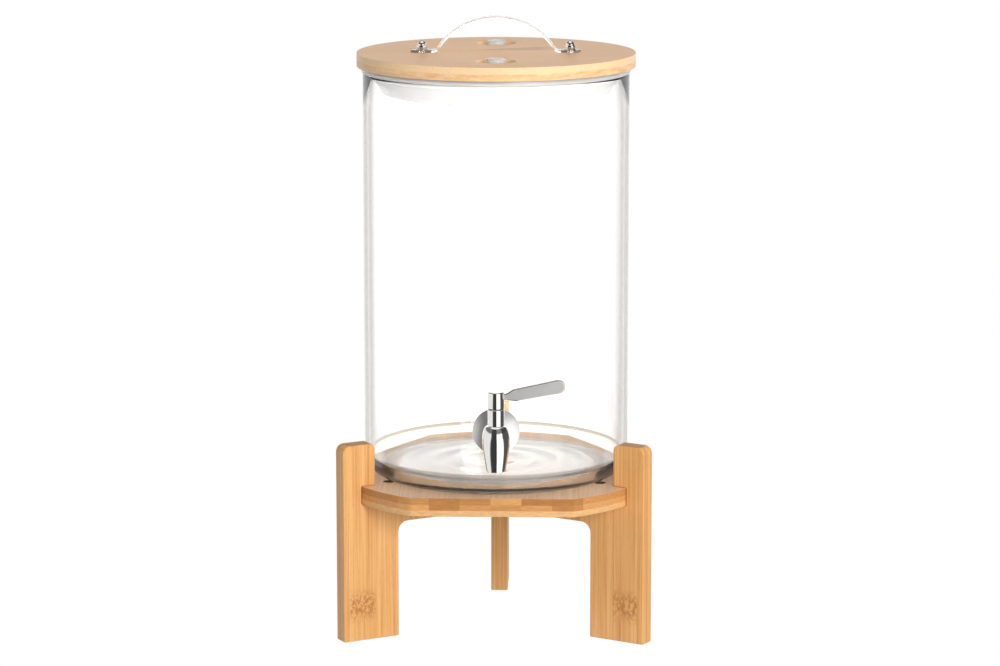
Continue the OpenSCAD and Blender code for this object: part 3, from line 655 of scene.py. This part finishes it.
def buildJar():
    r, wall, h = jar["radius"], jar["wall"], jar["height"]
    heelIn = jar["heel"] - wall + jar["heelExtra"]
    inner = r - wall
    puntEnd = r - jar["heel"] - jar["standRing"]
    rim = wall / 2

    def ripple(x, reach):
        fade = max(0.0, 1 - (x / reach) ** 3)
        return jar["rippleHeight"] * fade * math.cos(2 * math.pi * jar["rippleCount"] * x / reach)

    # the underside from the middle out, up the outside, over the rim, down the inside and back to the middle
    points = []
    for k in range(41):
        x = puntEnd * k / 40
        rise = jar["punt"] * (1 - (x / puntEnd) ** 2)
        points.append((x, rise + max(-jar["rippleDip"], ripple(x, puntEnd)) * (1 - k / 40)))
    points.append((r - jar["heel"], 0))
    points += arc(r - jar["heel"], jar["heel"], jar["heel"], jar["heel"], math.radians(-90), 0, 16)
    points += [(r, jar["heel"] + (h - rim - jar["heel"]) * k / 12) for k in range(1, 12)]
    points += arc(r - rim, h - rim, rim, rim, 0, math.pi, 12, first=0)
    floorTop = jar["floor"] + heelIn
    points += [(inner, h - rim - (h - rim - floorTop) * k / 12) for k in range(1, 12)]
    points += arc(inner - heelIn, floorTop, heelIn, heelIn, 0, math.radians(-90), 16, first=0)
    floorReach = inner - heelIn
    for k in range(39, -1, -1):
        x = floorReach * k / 40
        rise = jar["floor"] + jar["punt"] * (1 - (x / floorReach) ** 2)
        points.append((x, rise + ripple(x, floorReach) * (1 - k / 40)))
    bm = placed(turnProfile(points, 256), Matrix.Translation((0, 0, jar["bottom"])))
    piece = makePiece("glassJar", bm, [jarGlass, footGlass, heelGlass], 60)
    deep = jar["drillDepth"]
    drill = turnProfile([(0, 0), (jar["holeRadius"], 0), (jar["holeRadius"], deep), (0, deep)], 48)
    combine(piece, placed(drill, towardsFront(jar["drillFrom"], jar["holeHeight"])), "DIFFERENCE")
    piece.data.shade_smooth()
    piece.data.set_sharp_from_angle(angle=math.radians(50))
    for face in piece.data.polygons:
        if face.center.z < jar["bottom"] + jar["footHeight"]:
            inside = math.hypot(face.center.x, face.center.y) < jar["footReach"]
            face.material_index = 1 if inside else 2
    fitPiece(piece, "jar", "jar_glass", "glass_jar")


buildJar()
print("jar built")


tap = {
    "axisY": -0.134, "axisZ": 0.1705, "spoutEnd": 0.1475, "barrelTop": 0.1935, "barrelRadius": 0.0061,
    "bulbRadius": 0.0102, "spoutRadius": 0.0071, "bulbAt": 0.0235, "bulbTop": 0.034, "taperCurve": 1.15,
    "neckRadius": 0.0085, "shankRadius": 0.007, "neckEnd": -0.109, "shankEnd": -0.0848,
    "plugBore": 0.00475, "chamberBore": 0.006, "outletBore": 0.0056, "shankBore": 0.00375,
    "outletDepth": 0.0075, "chamberHeight": 0.003, "lip": 0.0004, "threadBevel": 0.0005,
}


def towardsJar(z):
    # from the tap's axis, with a turned piece's +Z pointing to the jar
    return Matrix.Translation((0, tap["axisY"], z)) @ Matrix.Rotation(math.radians(-90), 4, "X")


def buildTapBody():
    low, top = tap["spoutEnd"], tap["barrelTop"]
    swell = tap["bulbRadius"] - tap["barrelRadius"]
    lip = tap["lip"]
    profile = [(0, 0), (tap["spoutRadius"] - lip, 0), (tap["spoutRadius"], lip)]
    for k in range(1, 37):
        h = tap["bulbAt"] * k / 36
        ease = math.sin(math.pi / 2 * (h / tap["bulbAt"]) ** tap["taperCurve"])
        profile.append((tap["spoutRadius"] + (tap["bulbRadius"] - tap["spoutRadius"]) * ease, h))
    barrel, shoulder = tap["barrelRadius"], tap["bulbTop"] - tap["bulbAt"]
    profile += arc(barrel, tap["bulbAt"], swell, shoulder, 0, math.pi / 2, 24)
    height = top - low
    profile += [(barrel, height - edgeBreak), (barrel - edgeBreak, height), (0, height)]
    upright = Matrix.Translation((0, tap["axisY"], low))
    piece = makePiece("tapBody", placed(turnProfile(profile, 160), upright), [polishedSteel], 40)
    reach = tap["neckEnd"] - tap["axisY"]
    shank = tap["shankEnd"] - tap["axisY"]
    bevel = tap["threadBevel"]
    arm = turnProfile([
        (0, 0), (tap["neckRadius"], 0), (tap["neckRadius"], reach - lip), (tap["neckRadius"] - lip, reach),
        (tap["shankRadius"], reach), (tap["shankRadius"], shank - bevel),
        (tap["shankRadius"] - bevel, shank), (0, shank)], 96)
    backwards = towardsJar(tap["axisZ"])
    combine(piece, placed(arm, backwards), "UNION")
    chamber = tap["outletDepth"]
    roof = chamber + tap["chamberHeight"]
    bore = turnProfile([(0, -cutPast), (tap["outletBore"], -cutPast), (tap["outletBore"], chamber),
                        (tap["chamberBore"], chamber), (tap["chamberBore"], roof), (tap["plugBore"], roof),
                        (tap["plugBore"], height + cutPast), (0, height + cutPast)], 64)
    combine(piece, placed(bore, upright), "DIFFERENCE")
    inside = shank + cutPast
    waterway = turnProfile([(0, 0), (tap["shankBore"], 0), (tap["shankBore"], inside), (0, inside)], 48)
    combine(piece, placed(waterway, backwards), "DIFFERENCE")
    piece.data.shade_smooth()
    piece.data.set_sharp_from_angle(angle=math.radians(38))
    fitPiece(piece, "jar", "polished_steel", "tap_body")


rosette = {"radius": 0.0175, "height": 0.006, "edge": 0.0016, "bore": 0.00725, "face": -0.103}


def buildRosette():
    dome = rosette["height"] - rosette["edge"]
    ball = (rosette["radius"] ** 2 + dome ** 2) / (2 * dome)
    centre = rosette["height"] - ball
    profile = [(rosette["bore"], 0), (rosette["radius"] - edgeBreak, 0), (rosette["radius"], edgeBreak)]
    start = math.asin((rosette["radius"] - 0.0002) / ball)
    stop = math.asin((rosette["bore"] + edgeBreak) / ball)
    profile += arc(0, centre, ball, ball, math.pi / 2 - start, math.pi / 2 - stop, 30, first=0)
    profile.append((rosette["bore"], profile[-1][1] - edgeBreak))
    bm = placed(turnProfile(profile, 128, ring=True), towardsFront(rosette["face"], tap["axisZ"]))
    piece = makePiece("tapRosette", bm, [domeSteel], 40)
    fitPiece(piece, "jar", "polished_steel", "tap_rosette")


lever = {
    "low": 0.19415, "high": 0.20655, "radius": 0.0061, "round": 0.0012, "rise": 11, "length": 0.050,
    "thickness": 0.0034, "rootHalf": 0.0048, "tipHalf": 0.0056, "neckHalf": 0.0026, "neckLength": 0.009,
    "tipRound": 0.005, "start": 0.0042, "socketTop": 0.2042, "stemRadius": 0.00325, "stemHalf": 0.00255,
    "neckOut": 0.002, "neckRound": 0.004, "rootRound": 0.006, "backRound": 0.0035, "backShift": 0.001,
    "bladeEdge": 0.0008, "bladeAt": 0.57, "screwHeight": 0.19973, "screwRadius": 0.0015, "screwReach": 0.009,
}


def buildLever():
    height = lever["high"] - lever["low"]
    r, soft = lever["radius"], lever["round"]
    profile = [(0, 0), (r - edgeBreak, 0), (r, edgeBreak), (r, height - soft)]
    profile += arc(r - soft, height - soft, soft, soft, 0, math.pi / 2, 8)
    profile.append((0, height))
    hub = placed(turnProfile(profile, 128), Matrix.Translation((0, tap["axisY"], lever["low"])))
    piece = makePiece("tapLever", hub, [satinSteel, polishedSteel], 40)
    for face in piece.data.polygons:
        face.material_index = 1
    rootX = r + lever["neckLength"]
    tipX = lever["length"] / math.cos(math.radians(lever["rise"]))
    neckX, neck, neckRound = r + lever["neckOut"], lever["neckHalf"], lever["neckRound"]
    outline = roundCorners([
        (lever["start"], -neck, 0), (neckX, -neck, neckRound),
        (rootX, -lever["rootHalf"], lever["rootRound"]), (tipX, -lever["tipHalf"], lever["tipRound"]),
        (tipX, lever["tipHalf"], lever["tipRound"]),
        (rootX - lever["backShift"], lever["rootHalf"], lever["backRound"]),
        (neckX, neck, neckRound), (lever["start"], neck, 0)], 10)
    bm = extrudeOutline(outline, -lever["thickness"] / 2, lever["thickness"] / 2)
    blade = makePiece("blade", bm, [satinSteel, polishedSteel])
    softenEdges(blade, lever["bladeEdge"], 4, 40, 1)
    bm = bmesh.new()
    bm.from_mesh(blade.data)
    bpy.data.objects.remove(blade)
    for face in bm.faces:
        if abs(face.normal.z) < 0.9:
            face.material_index = 1
    seat = (Matrix.Translation((0, tap["axisY"], lever["low"] + lever["bladeAt"] * height))
            @ Matrix.Rotation(math.radians(-lever["rise"]), 4, "Y")
            @ Matrix.Rotation(math.radians(90), 4, "X"))
    combine(piece, placed(bm, seat), "UNION")
    flat = math.asin(lever["stemHalf"] / lever["stemRadius"])
    stem = []
    stemRadius = lever["stemRadius"]
    for side in (0, math.pi):
        stem += arc(0, tap["axisY"], stemRadius, stemRadius, side - flat, side + flat, 12, first=0)
    combine(piece, extrudeOutline(stem, lever["low"] - cutPast, lever["socketTop"]), "DIFFERENCE")
    deep = lever["screwReach"]
    hole = turnProfile([(0, 0), (lever["screwRadius"], 0), (lever["screwRadius"], deep), (0, deep)], 32)
    combine(piece, placed(hole, towardsJar(lever["screwHeight"])), "DIFFERENCE")
    piece.data.shade_smooth()
    piece.data.set_sharp_from_angle(angle=math.radians(42))
    flattenFaces(piece)
    fitPiece(piece, "lever", "polished_steel", "tap_lever")


buildTapBody()
buildRosette()
buildLever()
print("tap built")


lid = {
    "radius": 0.1045, "low": 0.4285, "high": 0.4385, "softEdge": 0.0007,
    "portReach": 0.062, "portRadius": 0.015, "portRecess": 0.006, "portHole": 0.011,
    "boltX": 0.0555, "boltHole": 0.00225,
}


def plainCutter(radius, low, high, x, y, steps=48):
    rod = turnProfile([(0, low), (radius, low), (radius, high), (0, high)], steps)
    return placed(rod, Matrix.Translation((x, y, 0)))


def buildLidBoard():
    board = turnProfile([(0, lid["low"]), (lid["radius"], lid["low"]), (lid["radius"], lid["high"]),
                         (0, lid["high"])], 256)
    bmesh.ops.dissolve_limit(board, angle_limit=0.01, verts=board.verts, edges=board.edges)
    piece = makePiece("lidBoard", board, [woodOfLid])
    cutters = []
    under, over = lid["low"] - cutPast, lid["high"] + cutPast
    shelf = lid["high"] - lid["portRecess"]
    for side in (-1, 1):
        port = turnProfile([(0, under), (lid["portHole"], under), (lid["portHole"], shelf),
                            (lid["portRadius"], shelf), (lid["portRadius"], over), (0, over)], 64)
        cutters.append(placed(port, Matrix.Translation((0, side * lid["portReach"], 0))))
        cutters.append(plainCutter(lid["boltHole"], under, over, side * lid["boltX"], 0, 32))
    combine(piece, joined(*cutters), "DIFFERENCE")
    softenEdges(piece, lid["softEdge"], 2)
    turnedInPlace(piece, 0)
    fitPiece(piece, "lid", "bamboo_lid", "lid_board")


seal = {
    "flange": 0.101, "web": 0.426, "high": 0.4285, "rim": 0.424, "skirt": 0.09615, "draw": 0.0085,
    "skirtDepth": 0.0155, "thickness": 0.003, "straight": 0.003, "webFrom": 0.02, "toeRise": 0.002,
    "toeOut": 0.0007, "rootInset": 0.001, "lipRound": 0.0008, "bendRound": 0.001, "rootRound": 0.003,
}


def buildSeal():
    rim = seal["rim"]
    foot = seal["skirt"] - seal["draw"]
    root = seal["skirt"] - seal["thickness"] - seal["rootInset"]
    straight = rim - seal["straight"]
    bottom = rim - seal["skirtDepth"]
    lip, bend = seal["lipRound"], seal["bendRound"]
    profile = roundCorners([
        (seal["webFrom"], seal["web"], 0), (seal["webFrom"], seal["high"], 0),
        (seal["flange"], seal["high"], lip), (seal["flange"], rim, lip),
        (seal["skirt"], rim, 0), (seal["skirt"], straight, bend),
        (foot + seal["toeOut"], bottom + seal["toeRise"], bend), (foot, bottom, lip),
        (foot - seal["thickness"], bottom, lip), (root, straight, seal["rootRound"]),
        (root, seal["web"], bend)], 5)
    profile = [(0, seal["high"])] + profile[1:] + [profile[0], (0, seal["web"])]
    piece = makePiece("lidSeal", turnProfile(profile, 192), [clearSilicone], 50)
    cutters = []
    under, over = seal["web"] - cutPast, seal["high"] + cutPast
    for side in (-1, 1):
        cutters.append(plainCutter(lid["portHole"], under, over, 0, side * lid["portReach"]))
        cutters.append(plainCutter(lid["boltHole"], under, over, side * lid["boltX"], 0, 32))
    combine(piece, joined(*cutters), "DIFFERENCE")
    piece.data.shade_smooth()
    piece.data.set_sharp_from_angle(angle=math.radians(45))
    fitPiece(piece, "lid", "clear_silicone", "lid_seal")


strap = {
    "span": 0.093, "rise": 0.0265, "width": 0.014, "thickness": 0.0015, "foot": 0.0175, "bend": 0.004,
    "softEdge": 0.00035, "endHalf": 0.0007, "endTrim": 0.00002, "footStop": 0.0035, "bendClear": 0.0002,
}


def buildStrap():
    top = lid["high"]
    half = strap["span"] / 2
    outer = (half ** 2 + strap["rise"] ** 2) / (2 * strap["rise"])
    t = strap["thickness"]
    radius = outer - t / 2
    centreZ = top + strap["rise"] - outer
    footEnd = half + strap["foot"]
    base = top + t / 2
    # centre line: right foot, a tight bend, the arch, and the same again to the left
    meet = math.sqrt(radius ** 2 - (base - centreZ) ** 2)
    slope = math.acos((base - centreZ) / radius)
    tight = strap["bend"]
    bendX = meet + tight * math.tan(slope / 2)
    flat = footEnd - meet - strap["footStop"]
    path = [(footEnd - strap["endTrim"] - flat * k / 24, base) for k in range(25)]
    path = [p for p in path if p[0] > bendX + strap["bendClear"]]
    path += arc(bendX, base + tight, tight, tight, math.radians(-90), math.radians(-90) - slope, 8, first=0)
    lastX, lastZ = path[-1]
    startAngle = math.atan2(lastZ - centreZ, lastX)
    path += arc(0, centreZ, radius, radius, startAngle, math.pi / 2, 30)
    path += [(-x, z) for x, z in reversed(path[:-1])]
    bm = bmesh.new()
    rows = []
    endRound = strap["width"] / 2
    for i, (x, z) in enumerate(path):
        before, after = path[max(i - 1, 0)], path[min(i + 1, len(path) - 1)]
        along = Vector((after[0] - before[0], after[1] - before[1])).normalized()
        nx, nz = along.y, -along.x
        fromEnd = footEnd - abs(x)
        wide = endRound
        if fromEnd < endRound:
            wide = math.sqrt(max(endRound ** 2 - (endRound - fromEnd) ** 2, strap["endHalf"] ** 2))
        rows.append([bm.verts.new((x + s * nx * t / 2, w * wide, z + s * nz * t / 2))
                     for s, w in ((1, -1), (1, 1), (-1, 1), (-1, -1))])
    for a, b in zip(rows, rows[1:]):
        for k in range(4):
            n = (k + 1) % 4
            bm.faces.new((a[k], a[n], b[n], b[k]))
    bm.faces.new(rows[0])
    bm.faces.new(rows[-1])
    piece = makePiece("handleStrap", bm, [strapPlastic])
    over = top + 4 * cutPast
    cutters = [plainCutter(lid["boltHole"], top - cutPast, over, s * lid["boltX"], 0, 32) for s in (-1, 1)]
    combine(piece, joined(*cutters), "DIFFERENCE")
    softenEdges(piece, strap["softEdge"], 2, 50)
    fitPiece(piece, "lid", "clear_plastic", "handle_strap")


nut = {"flats": 0.007, "height": 0.0064, "hexHeight": 0.0028, "washer": 0.0045, "washerThick": 0.0006,
       "washerEdge": 0.00012, "domeShare": 0.47, "domeFrom": 0.0005, "boreRadius": 0.002, "boreDepth": 0.0046,
       "seat": 0.4406, "softEdge": 0.0003}


def buildNuts():
    corner = nut["flats"] / 2 / math.cos(math.radians(30))
    dome = nut["domeShare"] * nut["flats"]
    nuts = None
    for side in (-1, 1):
        outline = [(side * lid["boltX"] + corner * math.cos(math.radians(60 * k)),
                    corner * math.sin(math.radians(60 * k))) for k in range(6)]
        hexagon = extrudeOutline(outline, nut["seat"], nut["seat"] + nut["hexHeight"])
        if nuts is None:
            nuts = makePiece("capNuts", hexagon, [polishedSteel])
        else:
            combine(nuts, hexagon, "UNION")
    softenEdges(nuts, nut["softEdge"], 2)
    domeAt = nut["height"] - dome
    profile = [(0, nut["domeFrom"]), (dome, nut["domeFrom"]), (dome, domeAt)]
    profile += arc(0, domeAt, dome, dome, 0, math.pi / 2, 16)
    for side in (-1, 1):
        cap = placed(turnProfile(profile, 64), Matrix.Translation((side * lid["boltX"], 0, nut["seat"])))
        combine(nuts, cap, "UNION")
        bore = plainCutter(nut["boreRadius"], nut["seat"] - cutPast, nut["seat"] + nut["boreDepth"],
                           side * lid["boltX"], 0, 32)
        combine(nuts, bore, "DIFFERENCE")
    nuts.data.shade_smooth()
    nuts.data.set_sharp_from_angle(angle=math.radians(35))
    fitPiece(nuts, "lid", "polished_steel", "cap_nuts")
    rings = []
    low = nut["seat"] - nut["washerThick"]
    soft = nut["washerEdge"]
    for side in (-1, 1):
        ring = turnProfile([(lid["boltHole"], low), (nut["washer"] - soft, low), (nut["washer"], low + soft),
                            (nut["washer"], nut["seat"] - soft), (nut["washer"] - soft, nut["seat"]),
                            (lid["boltHole"], nut["seat"])], 64, ring=True)
        rings.append(placed(ring, Matrix.Translation((side * lid["boltX"], 0, 0))))
    washers = makePiece("nutWashers", joined(*rings), [polishedSteel])
    fitPiece(washers, "lid", "polished_steel", "nut_washers")


stopper = {
    "seat": 0.4325, "flange": 0.01465, "flangeThick": 0.003, "plug": 0.01065, "plugDepth": 0.008,
    "wall": 0.0025, "skin": 0.001, "taper": 0.0006, "lead": 0.003, "knob": 0.007, "knobTop": 0.4405,
}


def buildStopper(name, node, side):
    s = stopper
    inner, low = s["plug"] - s["wall"], s["seat"] - s["plugDepth"]
    hollow, flangeTop = s["seat"] - s["skin"], s["seat"] + s["flangeThick"]
    outline = roundCorners([
        (0, hollow, 0), (inner, hollow, 0.001), (inner, low, 0.0006), (s["plug"] - s["taper"], low, 0.0006),
        (s["plug"], low + s["lead"], 0), (s["plug"], s["seat"], 0), (s["flange"], s["seat"], 0.0004),
        (s["flange"], flangeTop, 0.001), (s["knob"], flangeTop, 0.0012), (s["knob"], s["knobTop"], 0.0013),
        (0, s["knobTop"], 0)], 5)
    bm = placed(turnProfile(outline, 96), Matrix.Translation((0, side * lid["portReach"], 0)))
    piece = makePiece(name, bm, [clearSilicone], 50)
    fitPiece(piece, node, "clear_silicone", node)


buildLidBoard()
buildSeal()
buildStrap()
buildNuts()
buildStopper("stopperFront", "stopper_front", -1)
buildStopper("stopperRear", "stopper_rear", 1)
print("lid built")


kept = {
    "leg_screws": plainSteel, "handle_bolts": plainSteel, "bolt_washers": plainSteel,
    "tap_washer": plainSteel, "tap_lock_nut": plainSteel, "plug_clip": plainSteel,
    "lever_set_screw": plainSteel, "valve_plug": plainSteel,
    "plug_o_rings": blackRubber, "hub_washer": blackRubber,
    "tap_outer_gasket": whiteSilicone, "tap_inner_gasket": whiteSilicone,
}
for name, material in kept.items():
    node = nodes[name]
    node.data.materials.clear()
    node.data.materials.append(material)
print("small parts dressed")


studio = {
    "floorSize": 12.0, "keyPower": 34.0, "keyPlace": (0.95, -2.1, 0.75), "keyAim": (0, 0, 0.2),
    "keySize": (0.8, 1.0), "horizon": 0.50, "ceiling": 1.08, "leftShare": 0.35,
    "floorLight": 0.60,
    # how bright the walls look from the jar, by the angle round from the front towards the tap's right
    "cards": ((-180, 0.95), (-44, 0.95), (-36, 0.06), (4, 0.04), (8, 1.5), (52, 1.5), (58, 0.10), (126, 0.10),
              (134, 0.95), (180, 0.95)),
    "throughGlass": 1.30, "underGlass": 1.25, "underReach": (0.25, 0.6),
    "overhead": (1.1, 1.1, 1.1), "dark": (0.06, 0.06, 0.06), "paperDrop": 0.0002,
}


def rampOf(tree, value, stops, low, high):
    # stops are (angle in degrees, brightness)
    ramp = addNode(tree, "ValToRGB", {0: spread(tree, value, math.radians(low), math.radians(high))})
    marks = ramp.color_ramp.elements
    marks.remove(marks[-1])
    for i, (degrees, shade) in enumerate(stops):
        place = (degrees - low) / (high - low)
        mark = marks[0] if i == 0 else marks.new(place)
        mark.position = place
        mark.color = (shade, shade, shade, 1)
    return ramp.outputs[0]


def studioCards(tree, x, y):
    # what polished metal sees round about
    front = calc(tree, "ARCTAN2", x, times(tree, y, -1.0))
    return rampOf(tree, front, studio["cards"], -180, 180)


def chooseByRay(tree, plain, mirrored, through):
    ray = addNode(tree, "LightPath").outputs
    light = blendColour(tree, ray["Is Glossy Ray"], plain, mirrored)
    light = blendColour(tree, ray["Is Transmission Ray"], light, through)
    return blendColour(tree, ray["Is Camera Ray"], light, (1.0, 1.0, 1.0))


def buildFloor():
    bm = bmesh.new()
    bmesh.ops.create_grid(bm, x_segments=8, y_segments=8, size=studio["floorSize"] / 2)
    material, tree, output = newMaterial("floor paper")
    split = addNode(tree, "SeparateXYZ", {0: addNode(tree, "NewGeometry").outputs["Position"]})
    mirrored = studioCards(tree, split.outputs[0], split.outputs[1])
    away = lengthOf(tree, split.outputs[0], split.outputs[1])
    through = spread(tree, away, *studio["underReach"], studio["underGlass"], studio["throughGlass"])
    through = asGrey(tree, through)
    even = studio["floorLight"]
    light = chooseByRay(tree, (even, even, even), mirrored, through)
    shader = addNode(tree, "Emission", {0: light, 1: 1.0})
    tree.links.new(shader.outputs[0], output.inputs[0])
    floor = makePiece("floor", bm, [material])
    floor.location.z = -studio["paperDrop"]


def buildSky():
    world = bpy.data.worlds.new("studio")
    scene.world = world
    world.use_nodes = True
    tree = world.node_tree
    tree.nodes.clear()
    output = tree.nodes.new("ShaderNodeOutputWorld")
    split = addNode(tree, "SeparateXYZ", {0: addNode(tree, "TexCoord").outputs["Generated"]})
    x, y, up = split.outputs
    mirrored = studioCards(tree, x, y)
    # above the cards it is dark, and a wide bright cloth hangs overhead
    dim = times(tree, spread(tree, up, 0.22, 0.34), 0.85)
    mirrored = blendColour(tree, dim, mirrored, studio["dark"])
    mirrored = blendColour(tree, spread(tree, up, 0.80, 0.90), mirrored, studio["overhead"])
    clear = studio["throughGlass"]
    through = (clear, clear, clear)
    plain = spread(tree, up, 0.15, 0.85, studio["horizon"], studio["ceiling"])
    plain = asGrey(tree, times(tree, plain, spread(tree, x, -0.9, 0.6, studio["leftShare"], 1.0)))
    shader = addNode(tree, "Background", {0: chooseByRay(tree, plain, mirrored, through), 1: 1.0})
    tree.links.new(shader.outputs[0], output.inputs[0])


def buildLamp():
    data = bpy.data.lights.new("key", "AREA")
    data.shape = "RECTANGLE"
    data.size, data.size_y = studio["keySize"]
    data.energy = studio["keyPower"]
    lamp = bpy.data.objects.new("key", data)
    scene.collection.objects.link(lamp)
    lamp.location = studio["keyPlace"]
    lamp.visible_glossy = False  # the tap and the glass don't mirror it
    aim = Vector(studio["keyAim"]) - Vector(studio["keyPlace"])
    lamp.rotation_euler = aim.to_track_quat("-Z", "Y").to_euler()


view = {"place": (0.0029, -2.7615, 0.7466), "tilt": 79.29, "lens": 133.27, "sensor": 36}


def buildCamera():
    data = bpy.data.cameras.new("camera")
    data.lens = view["lens"]
    data.sensor_width = view["sensor"]
    camera = bpy.data.objects.new("camera", data)
    scene.collection.objects.link(camera)
    camera.location = view["place"]
    camera.rotation_euler = (math.radians(view["tilt"]), 0, 0)
    scene.camera = camera


buildFloor()
buildSky()
buildLamp()
buildCamera()
scene.view_settings.view_transform = "Standard"
print("studio set")
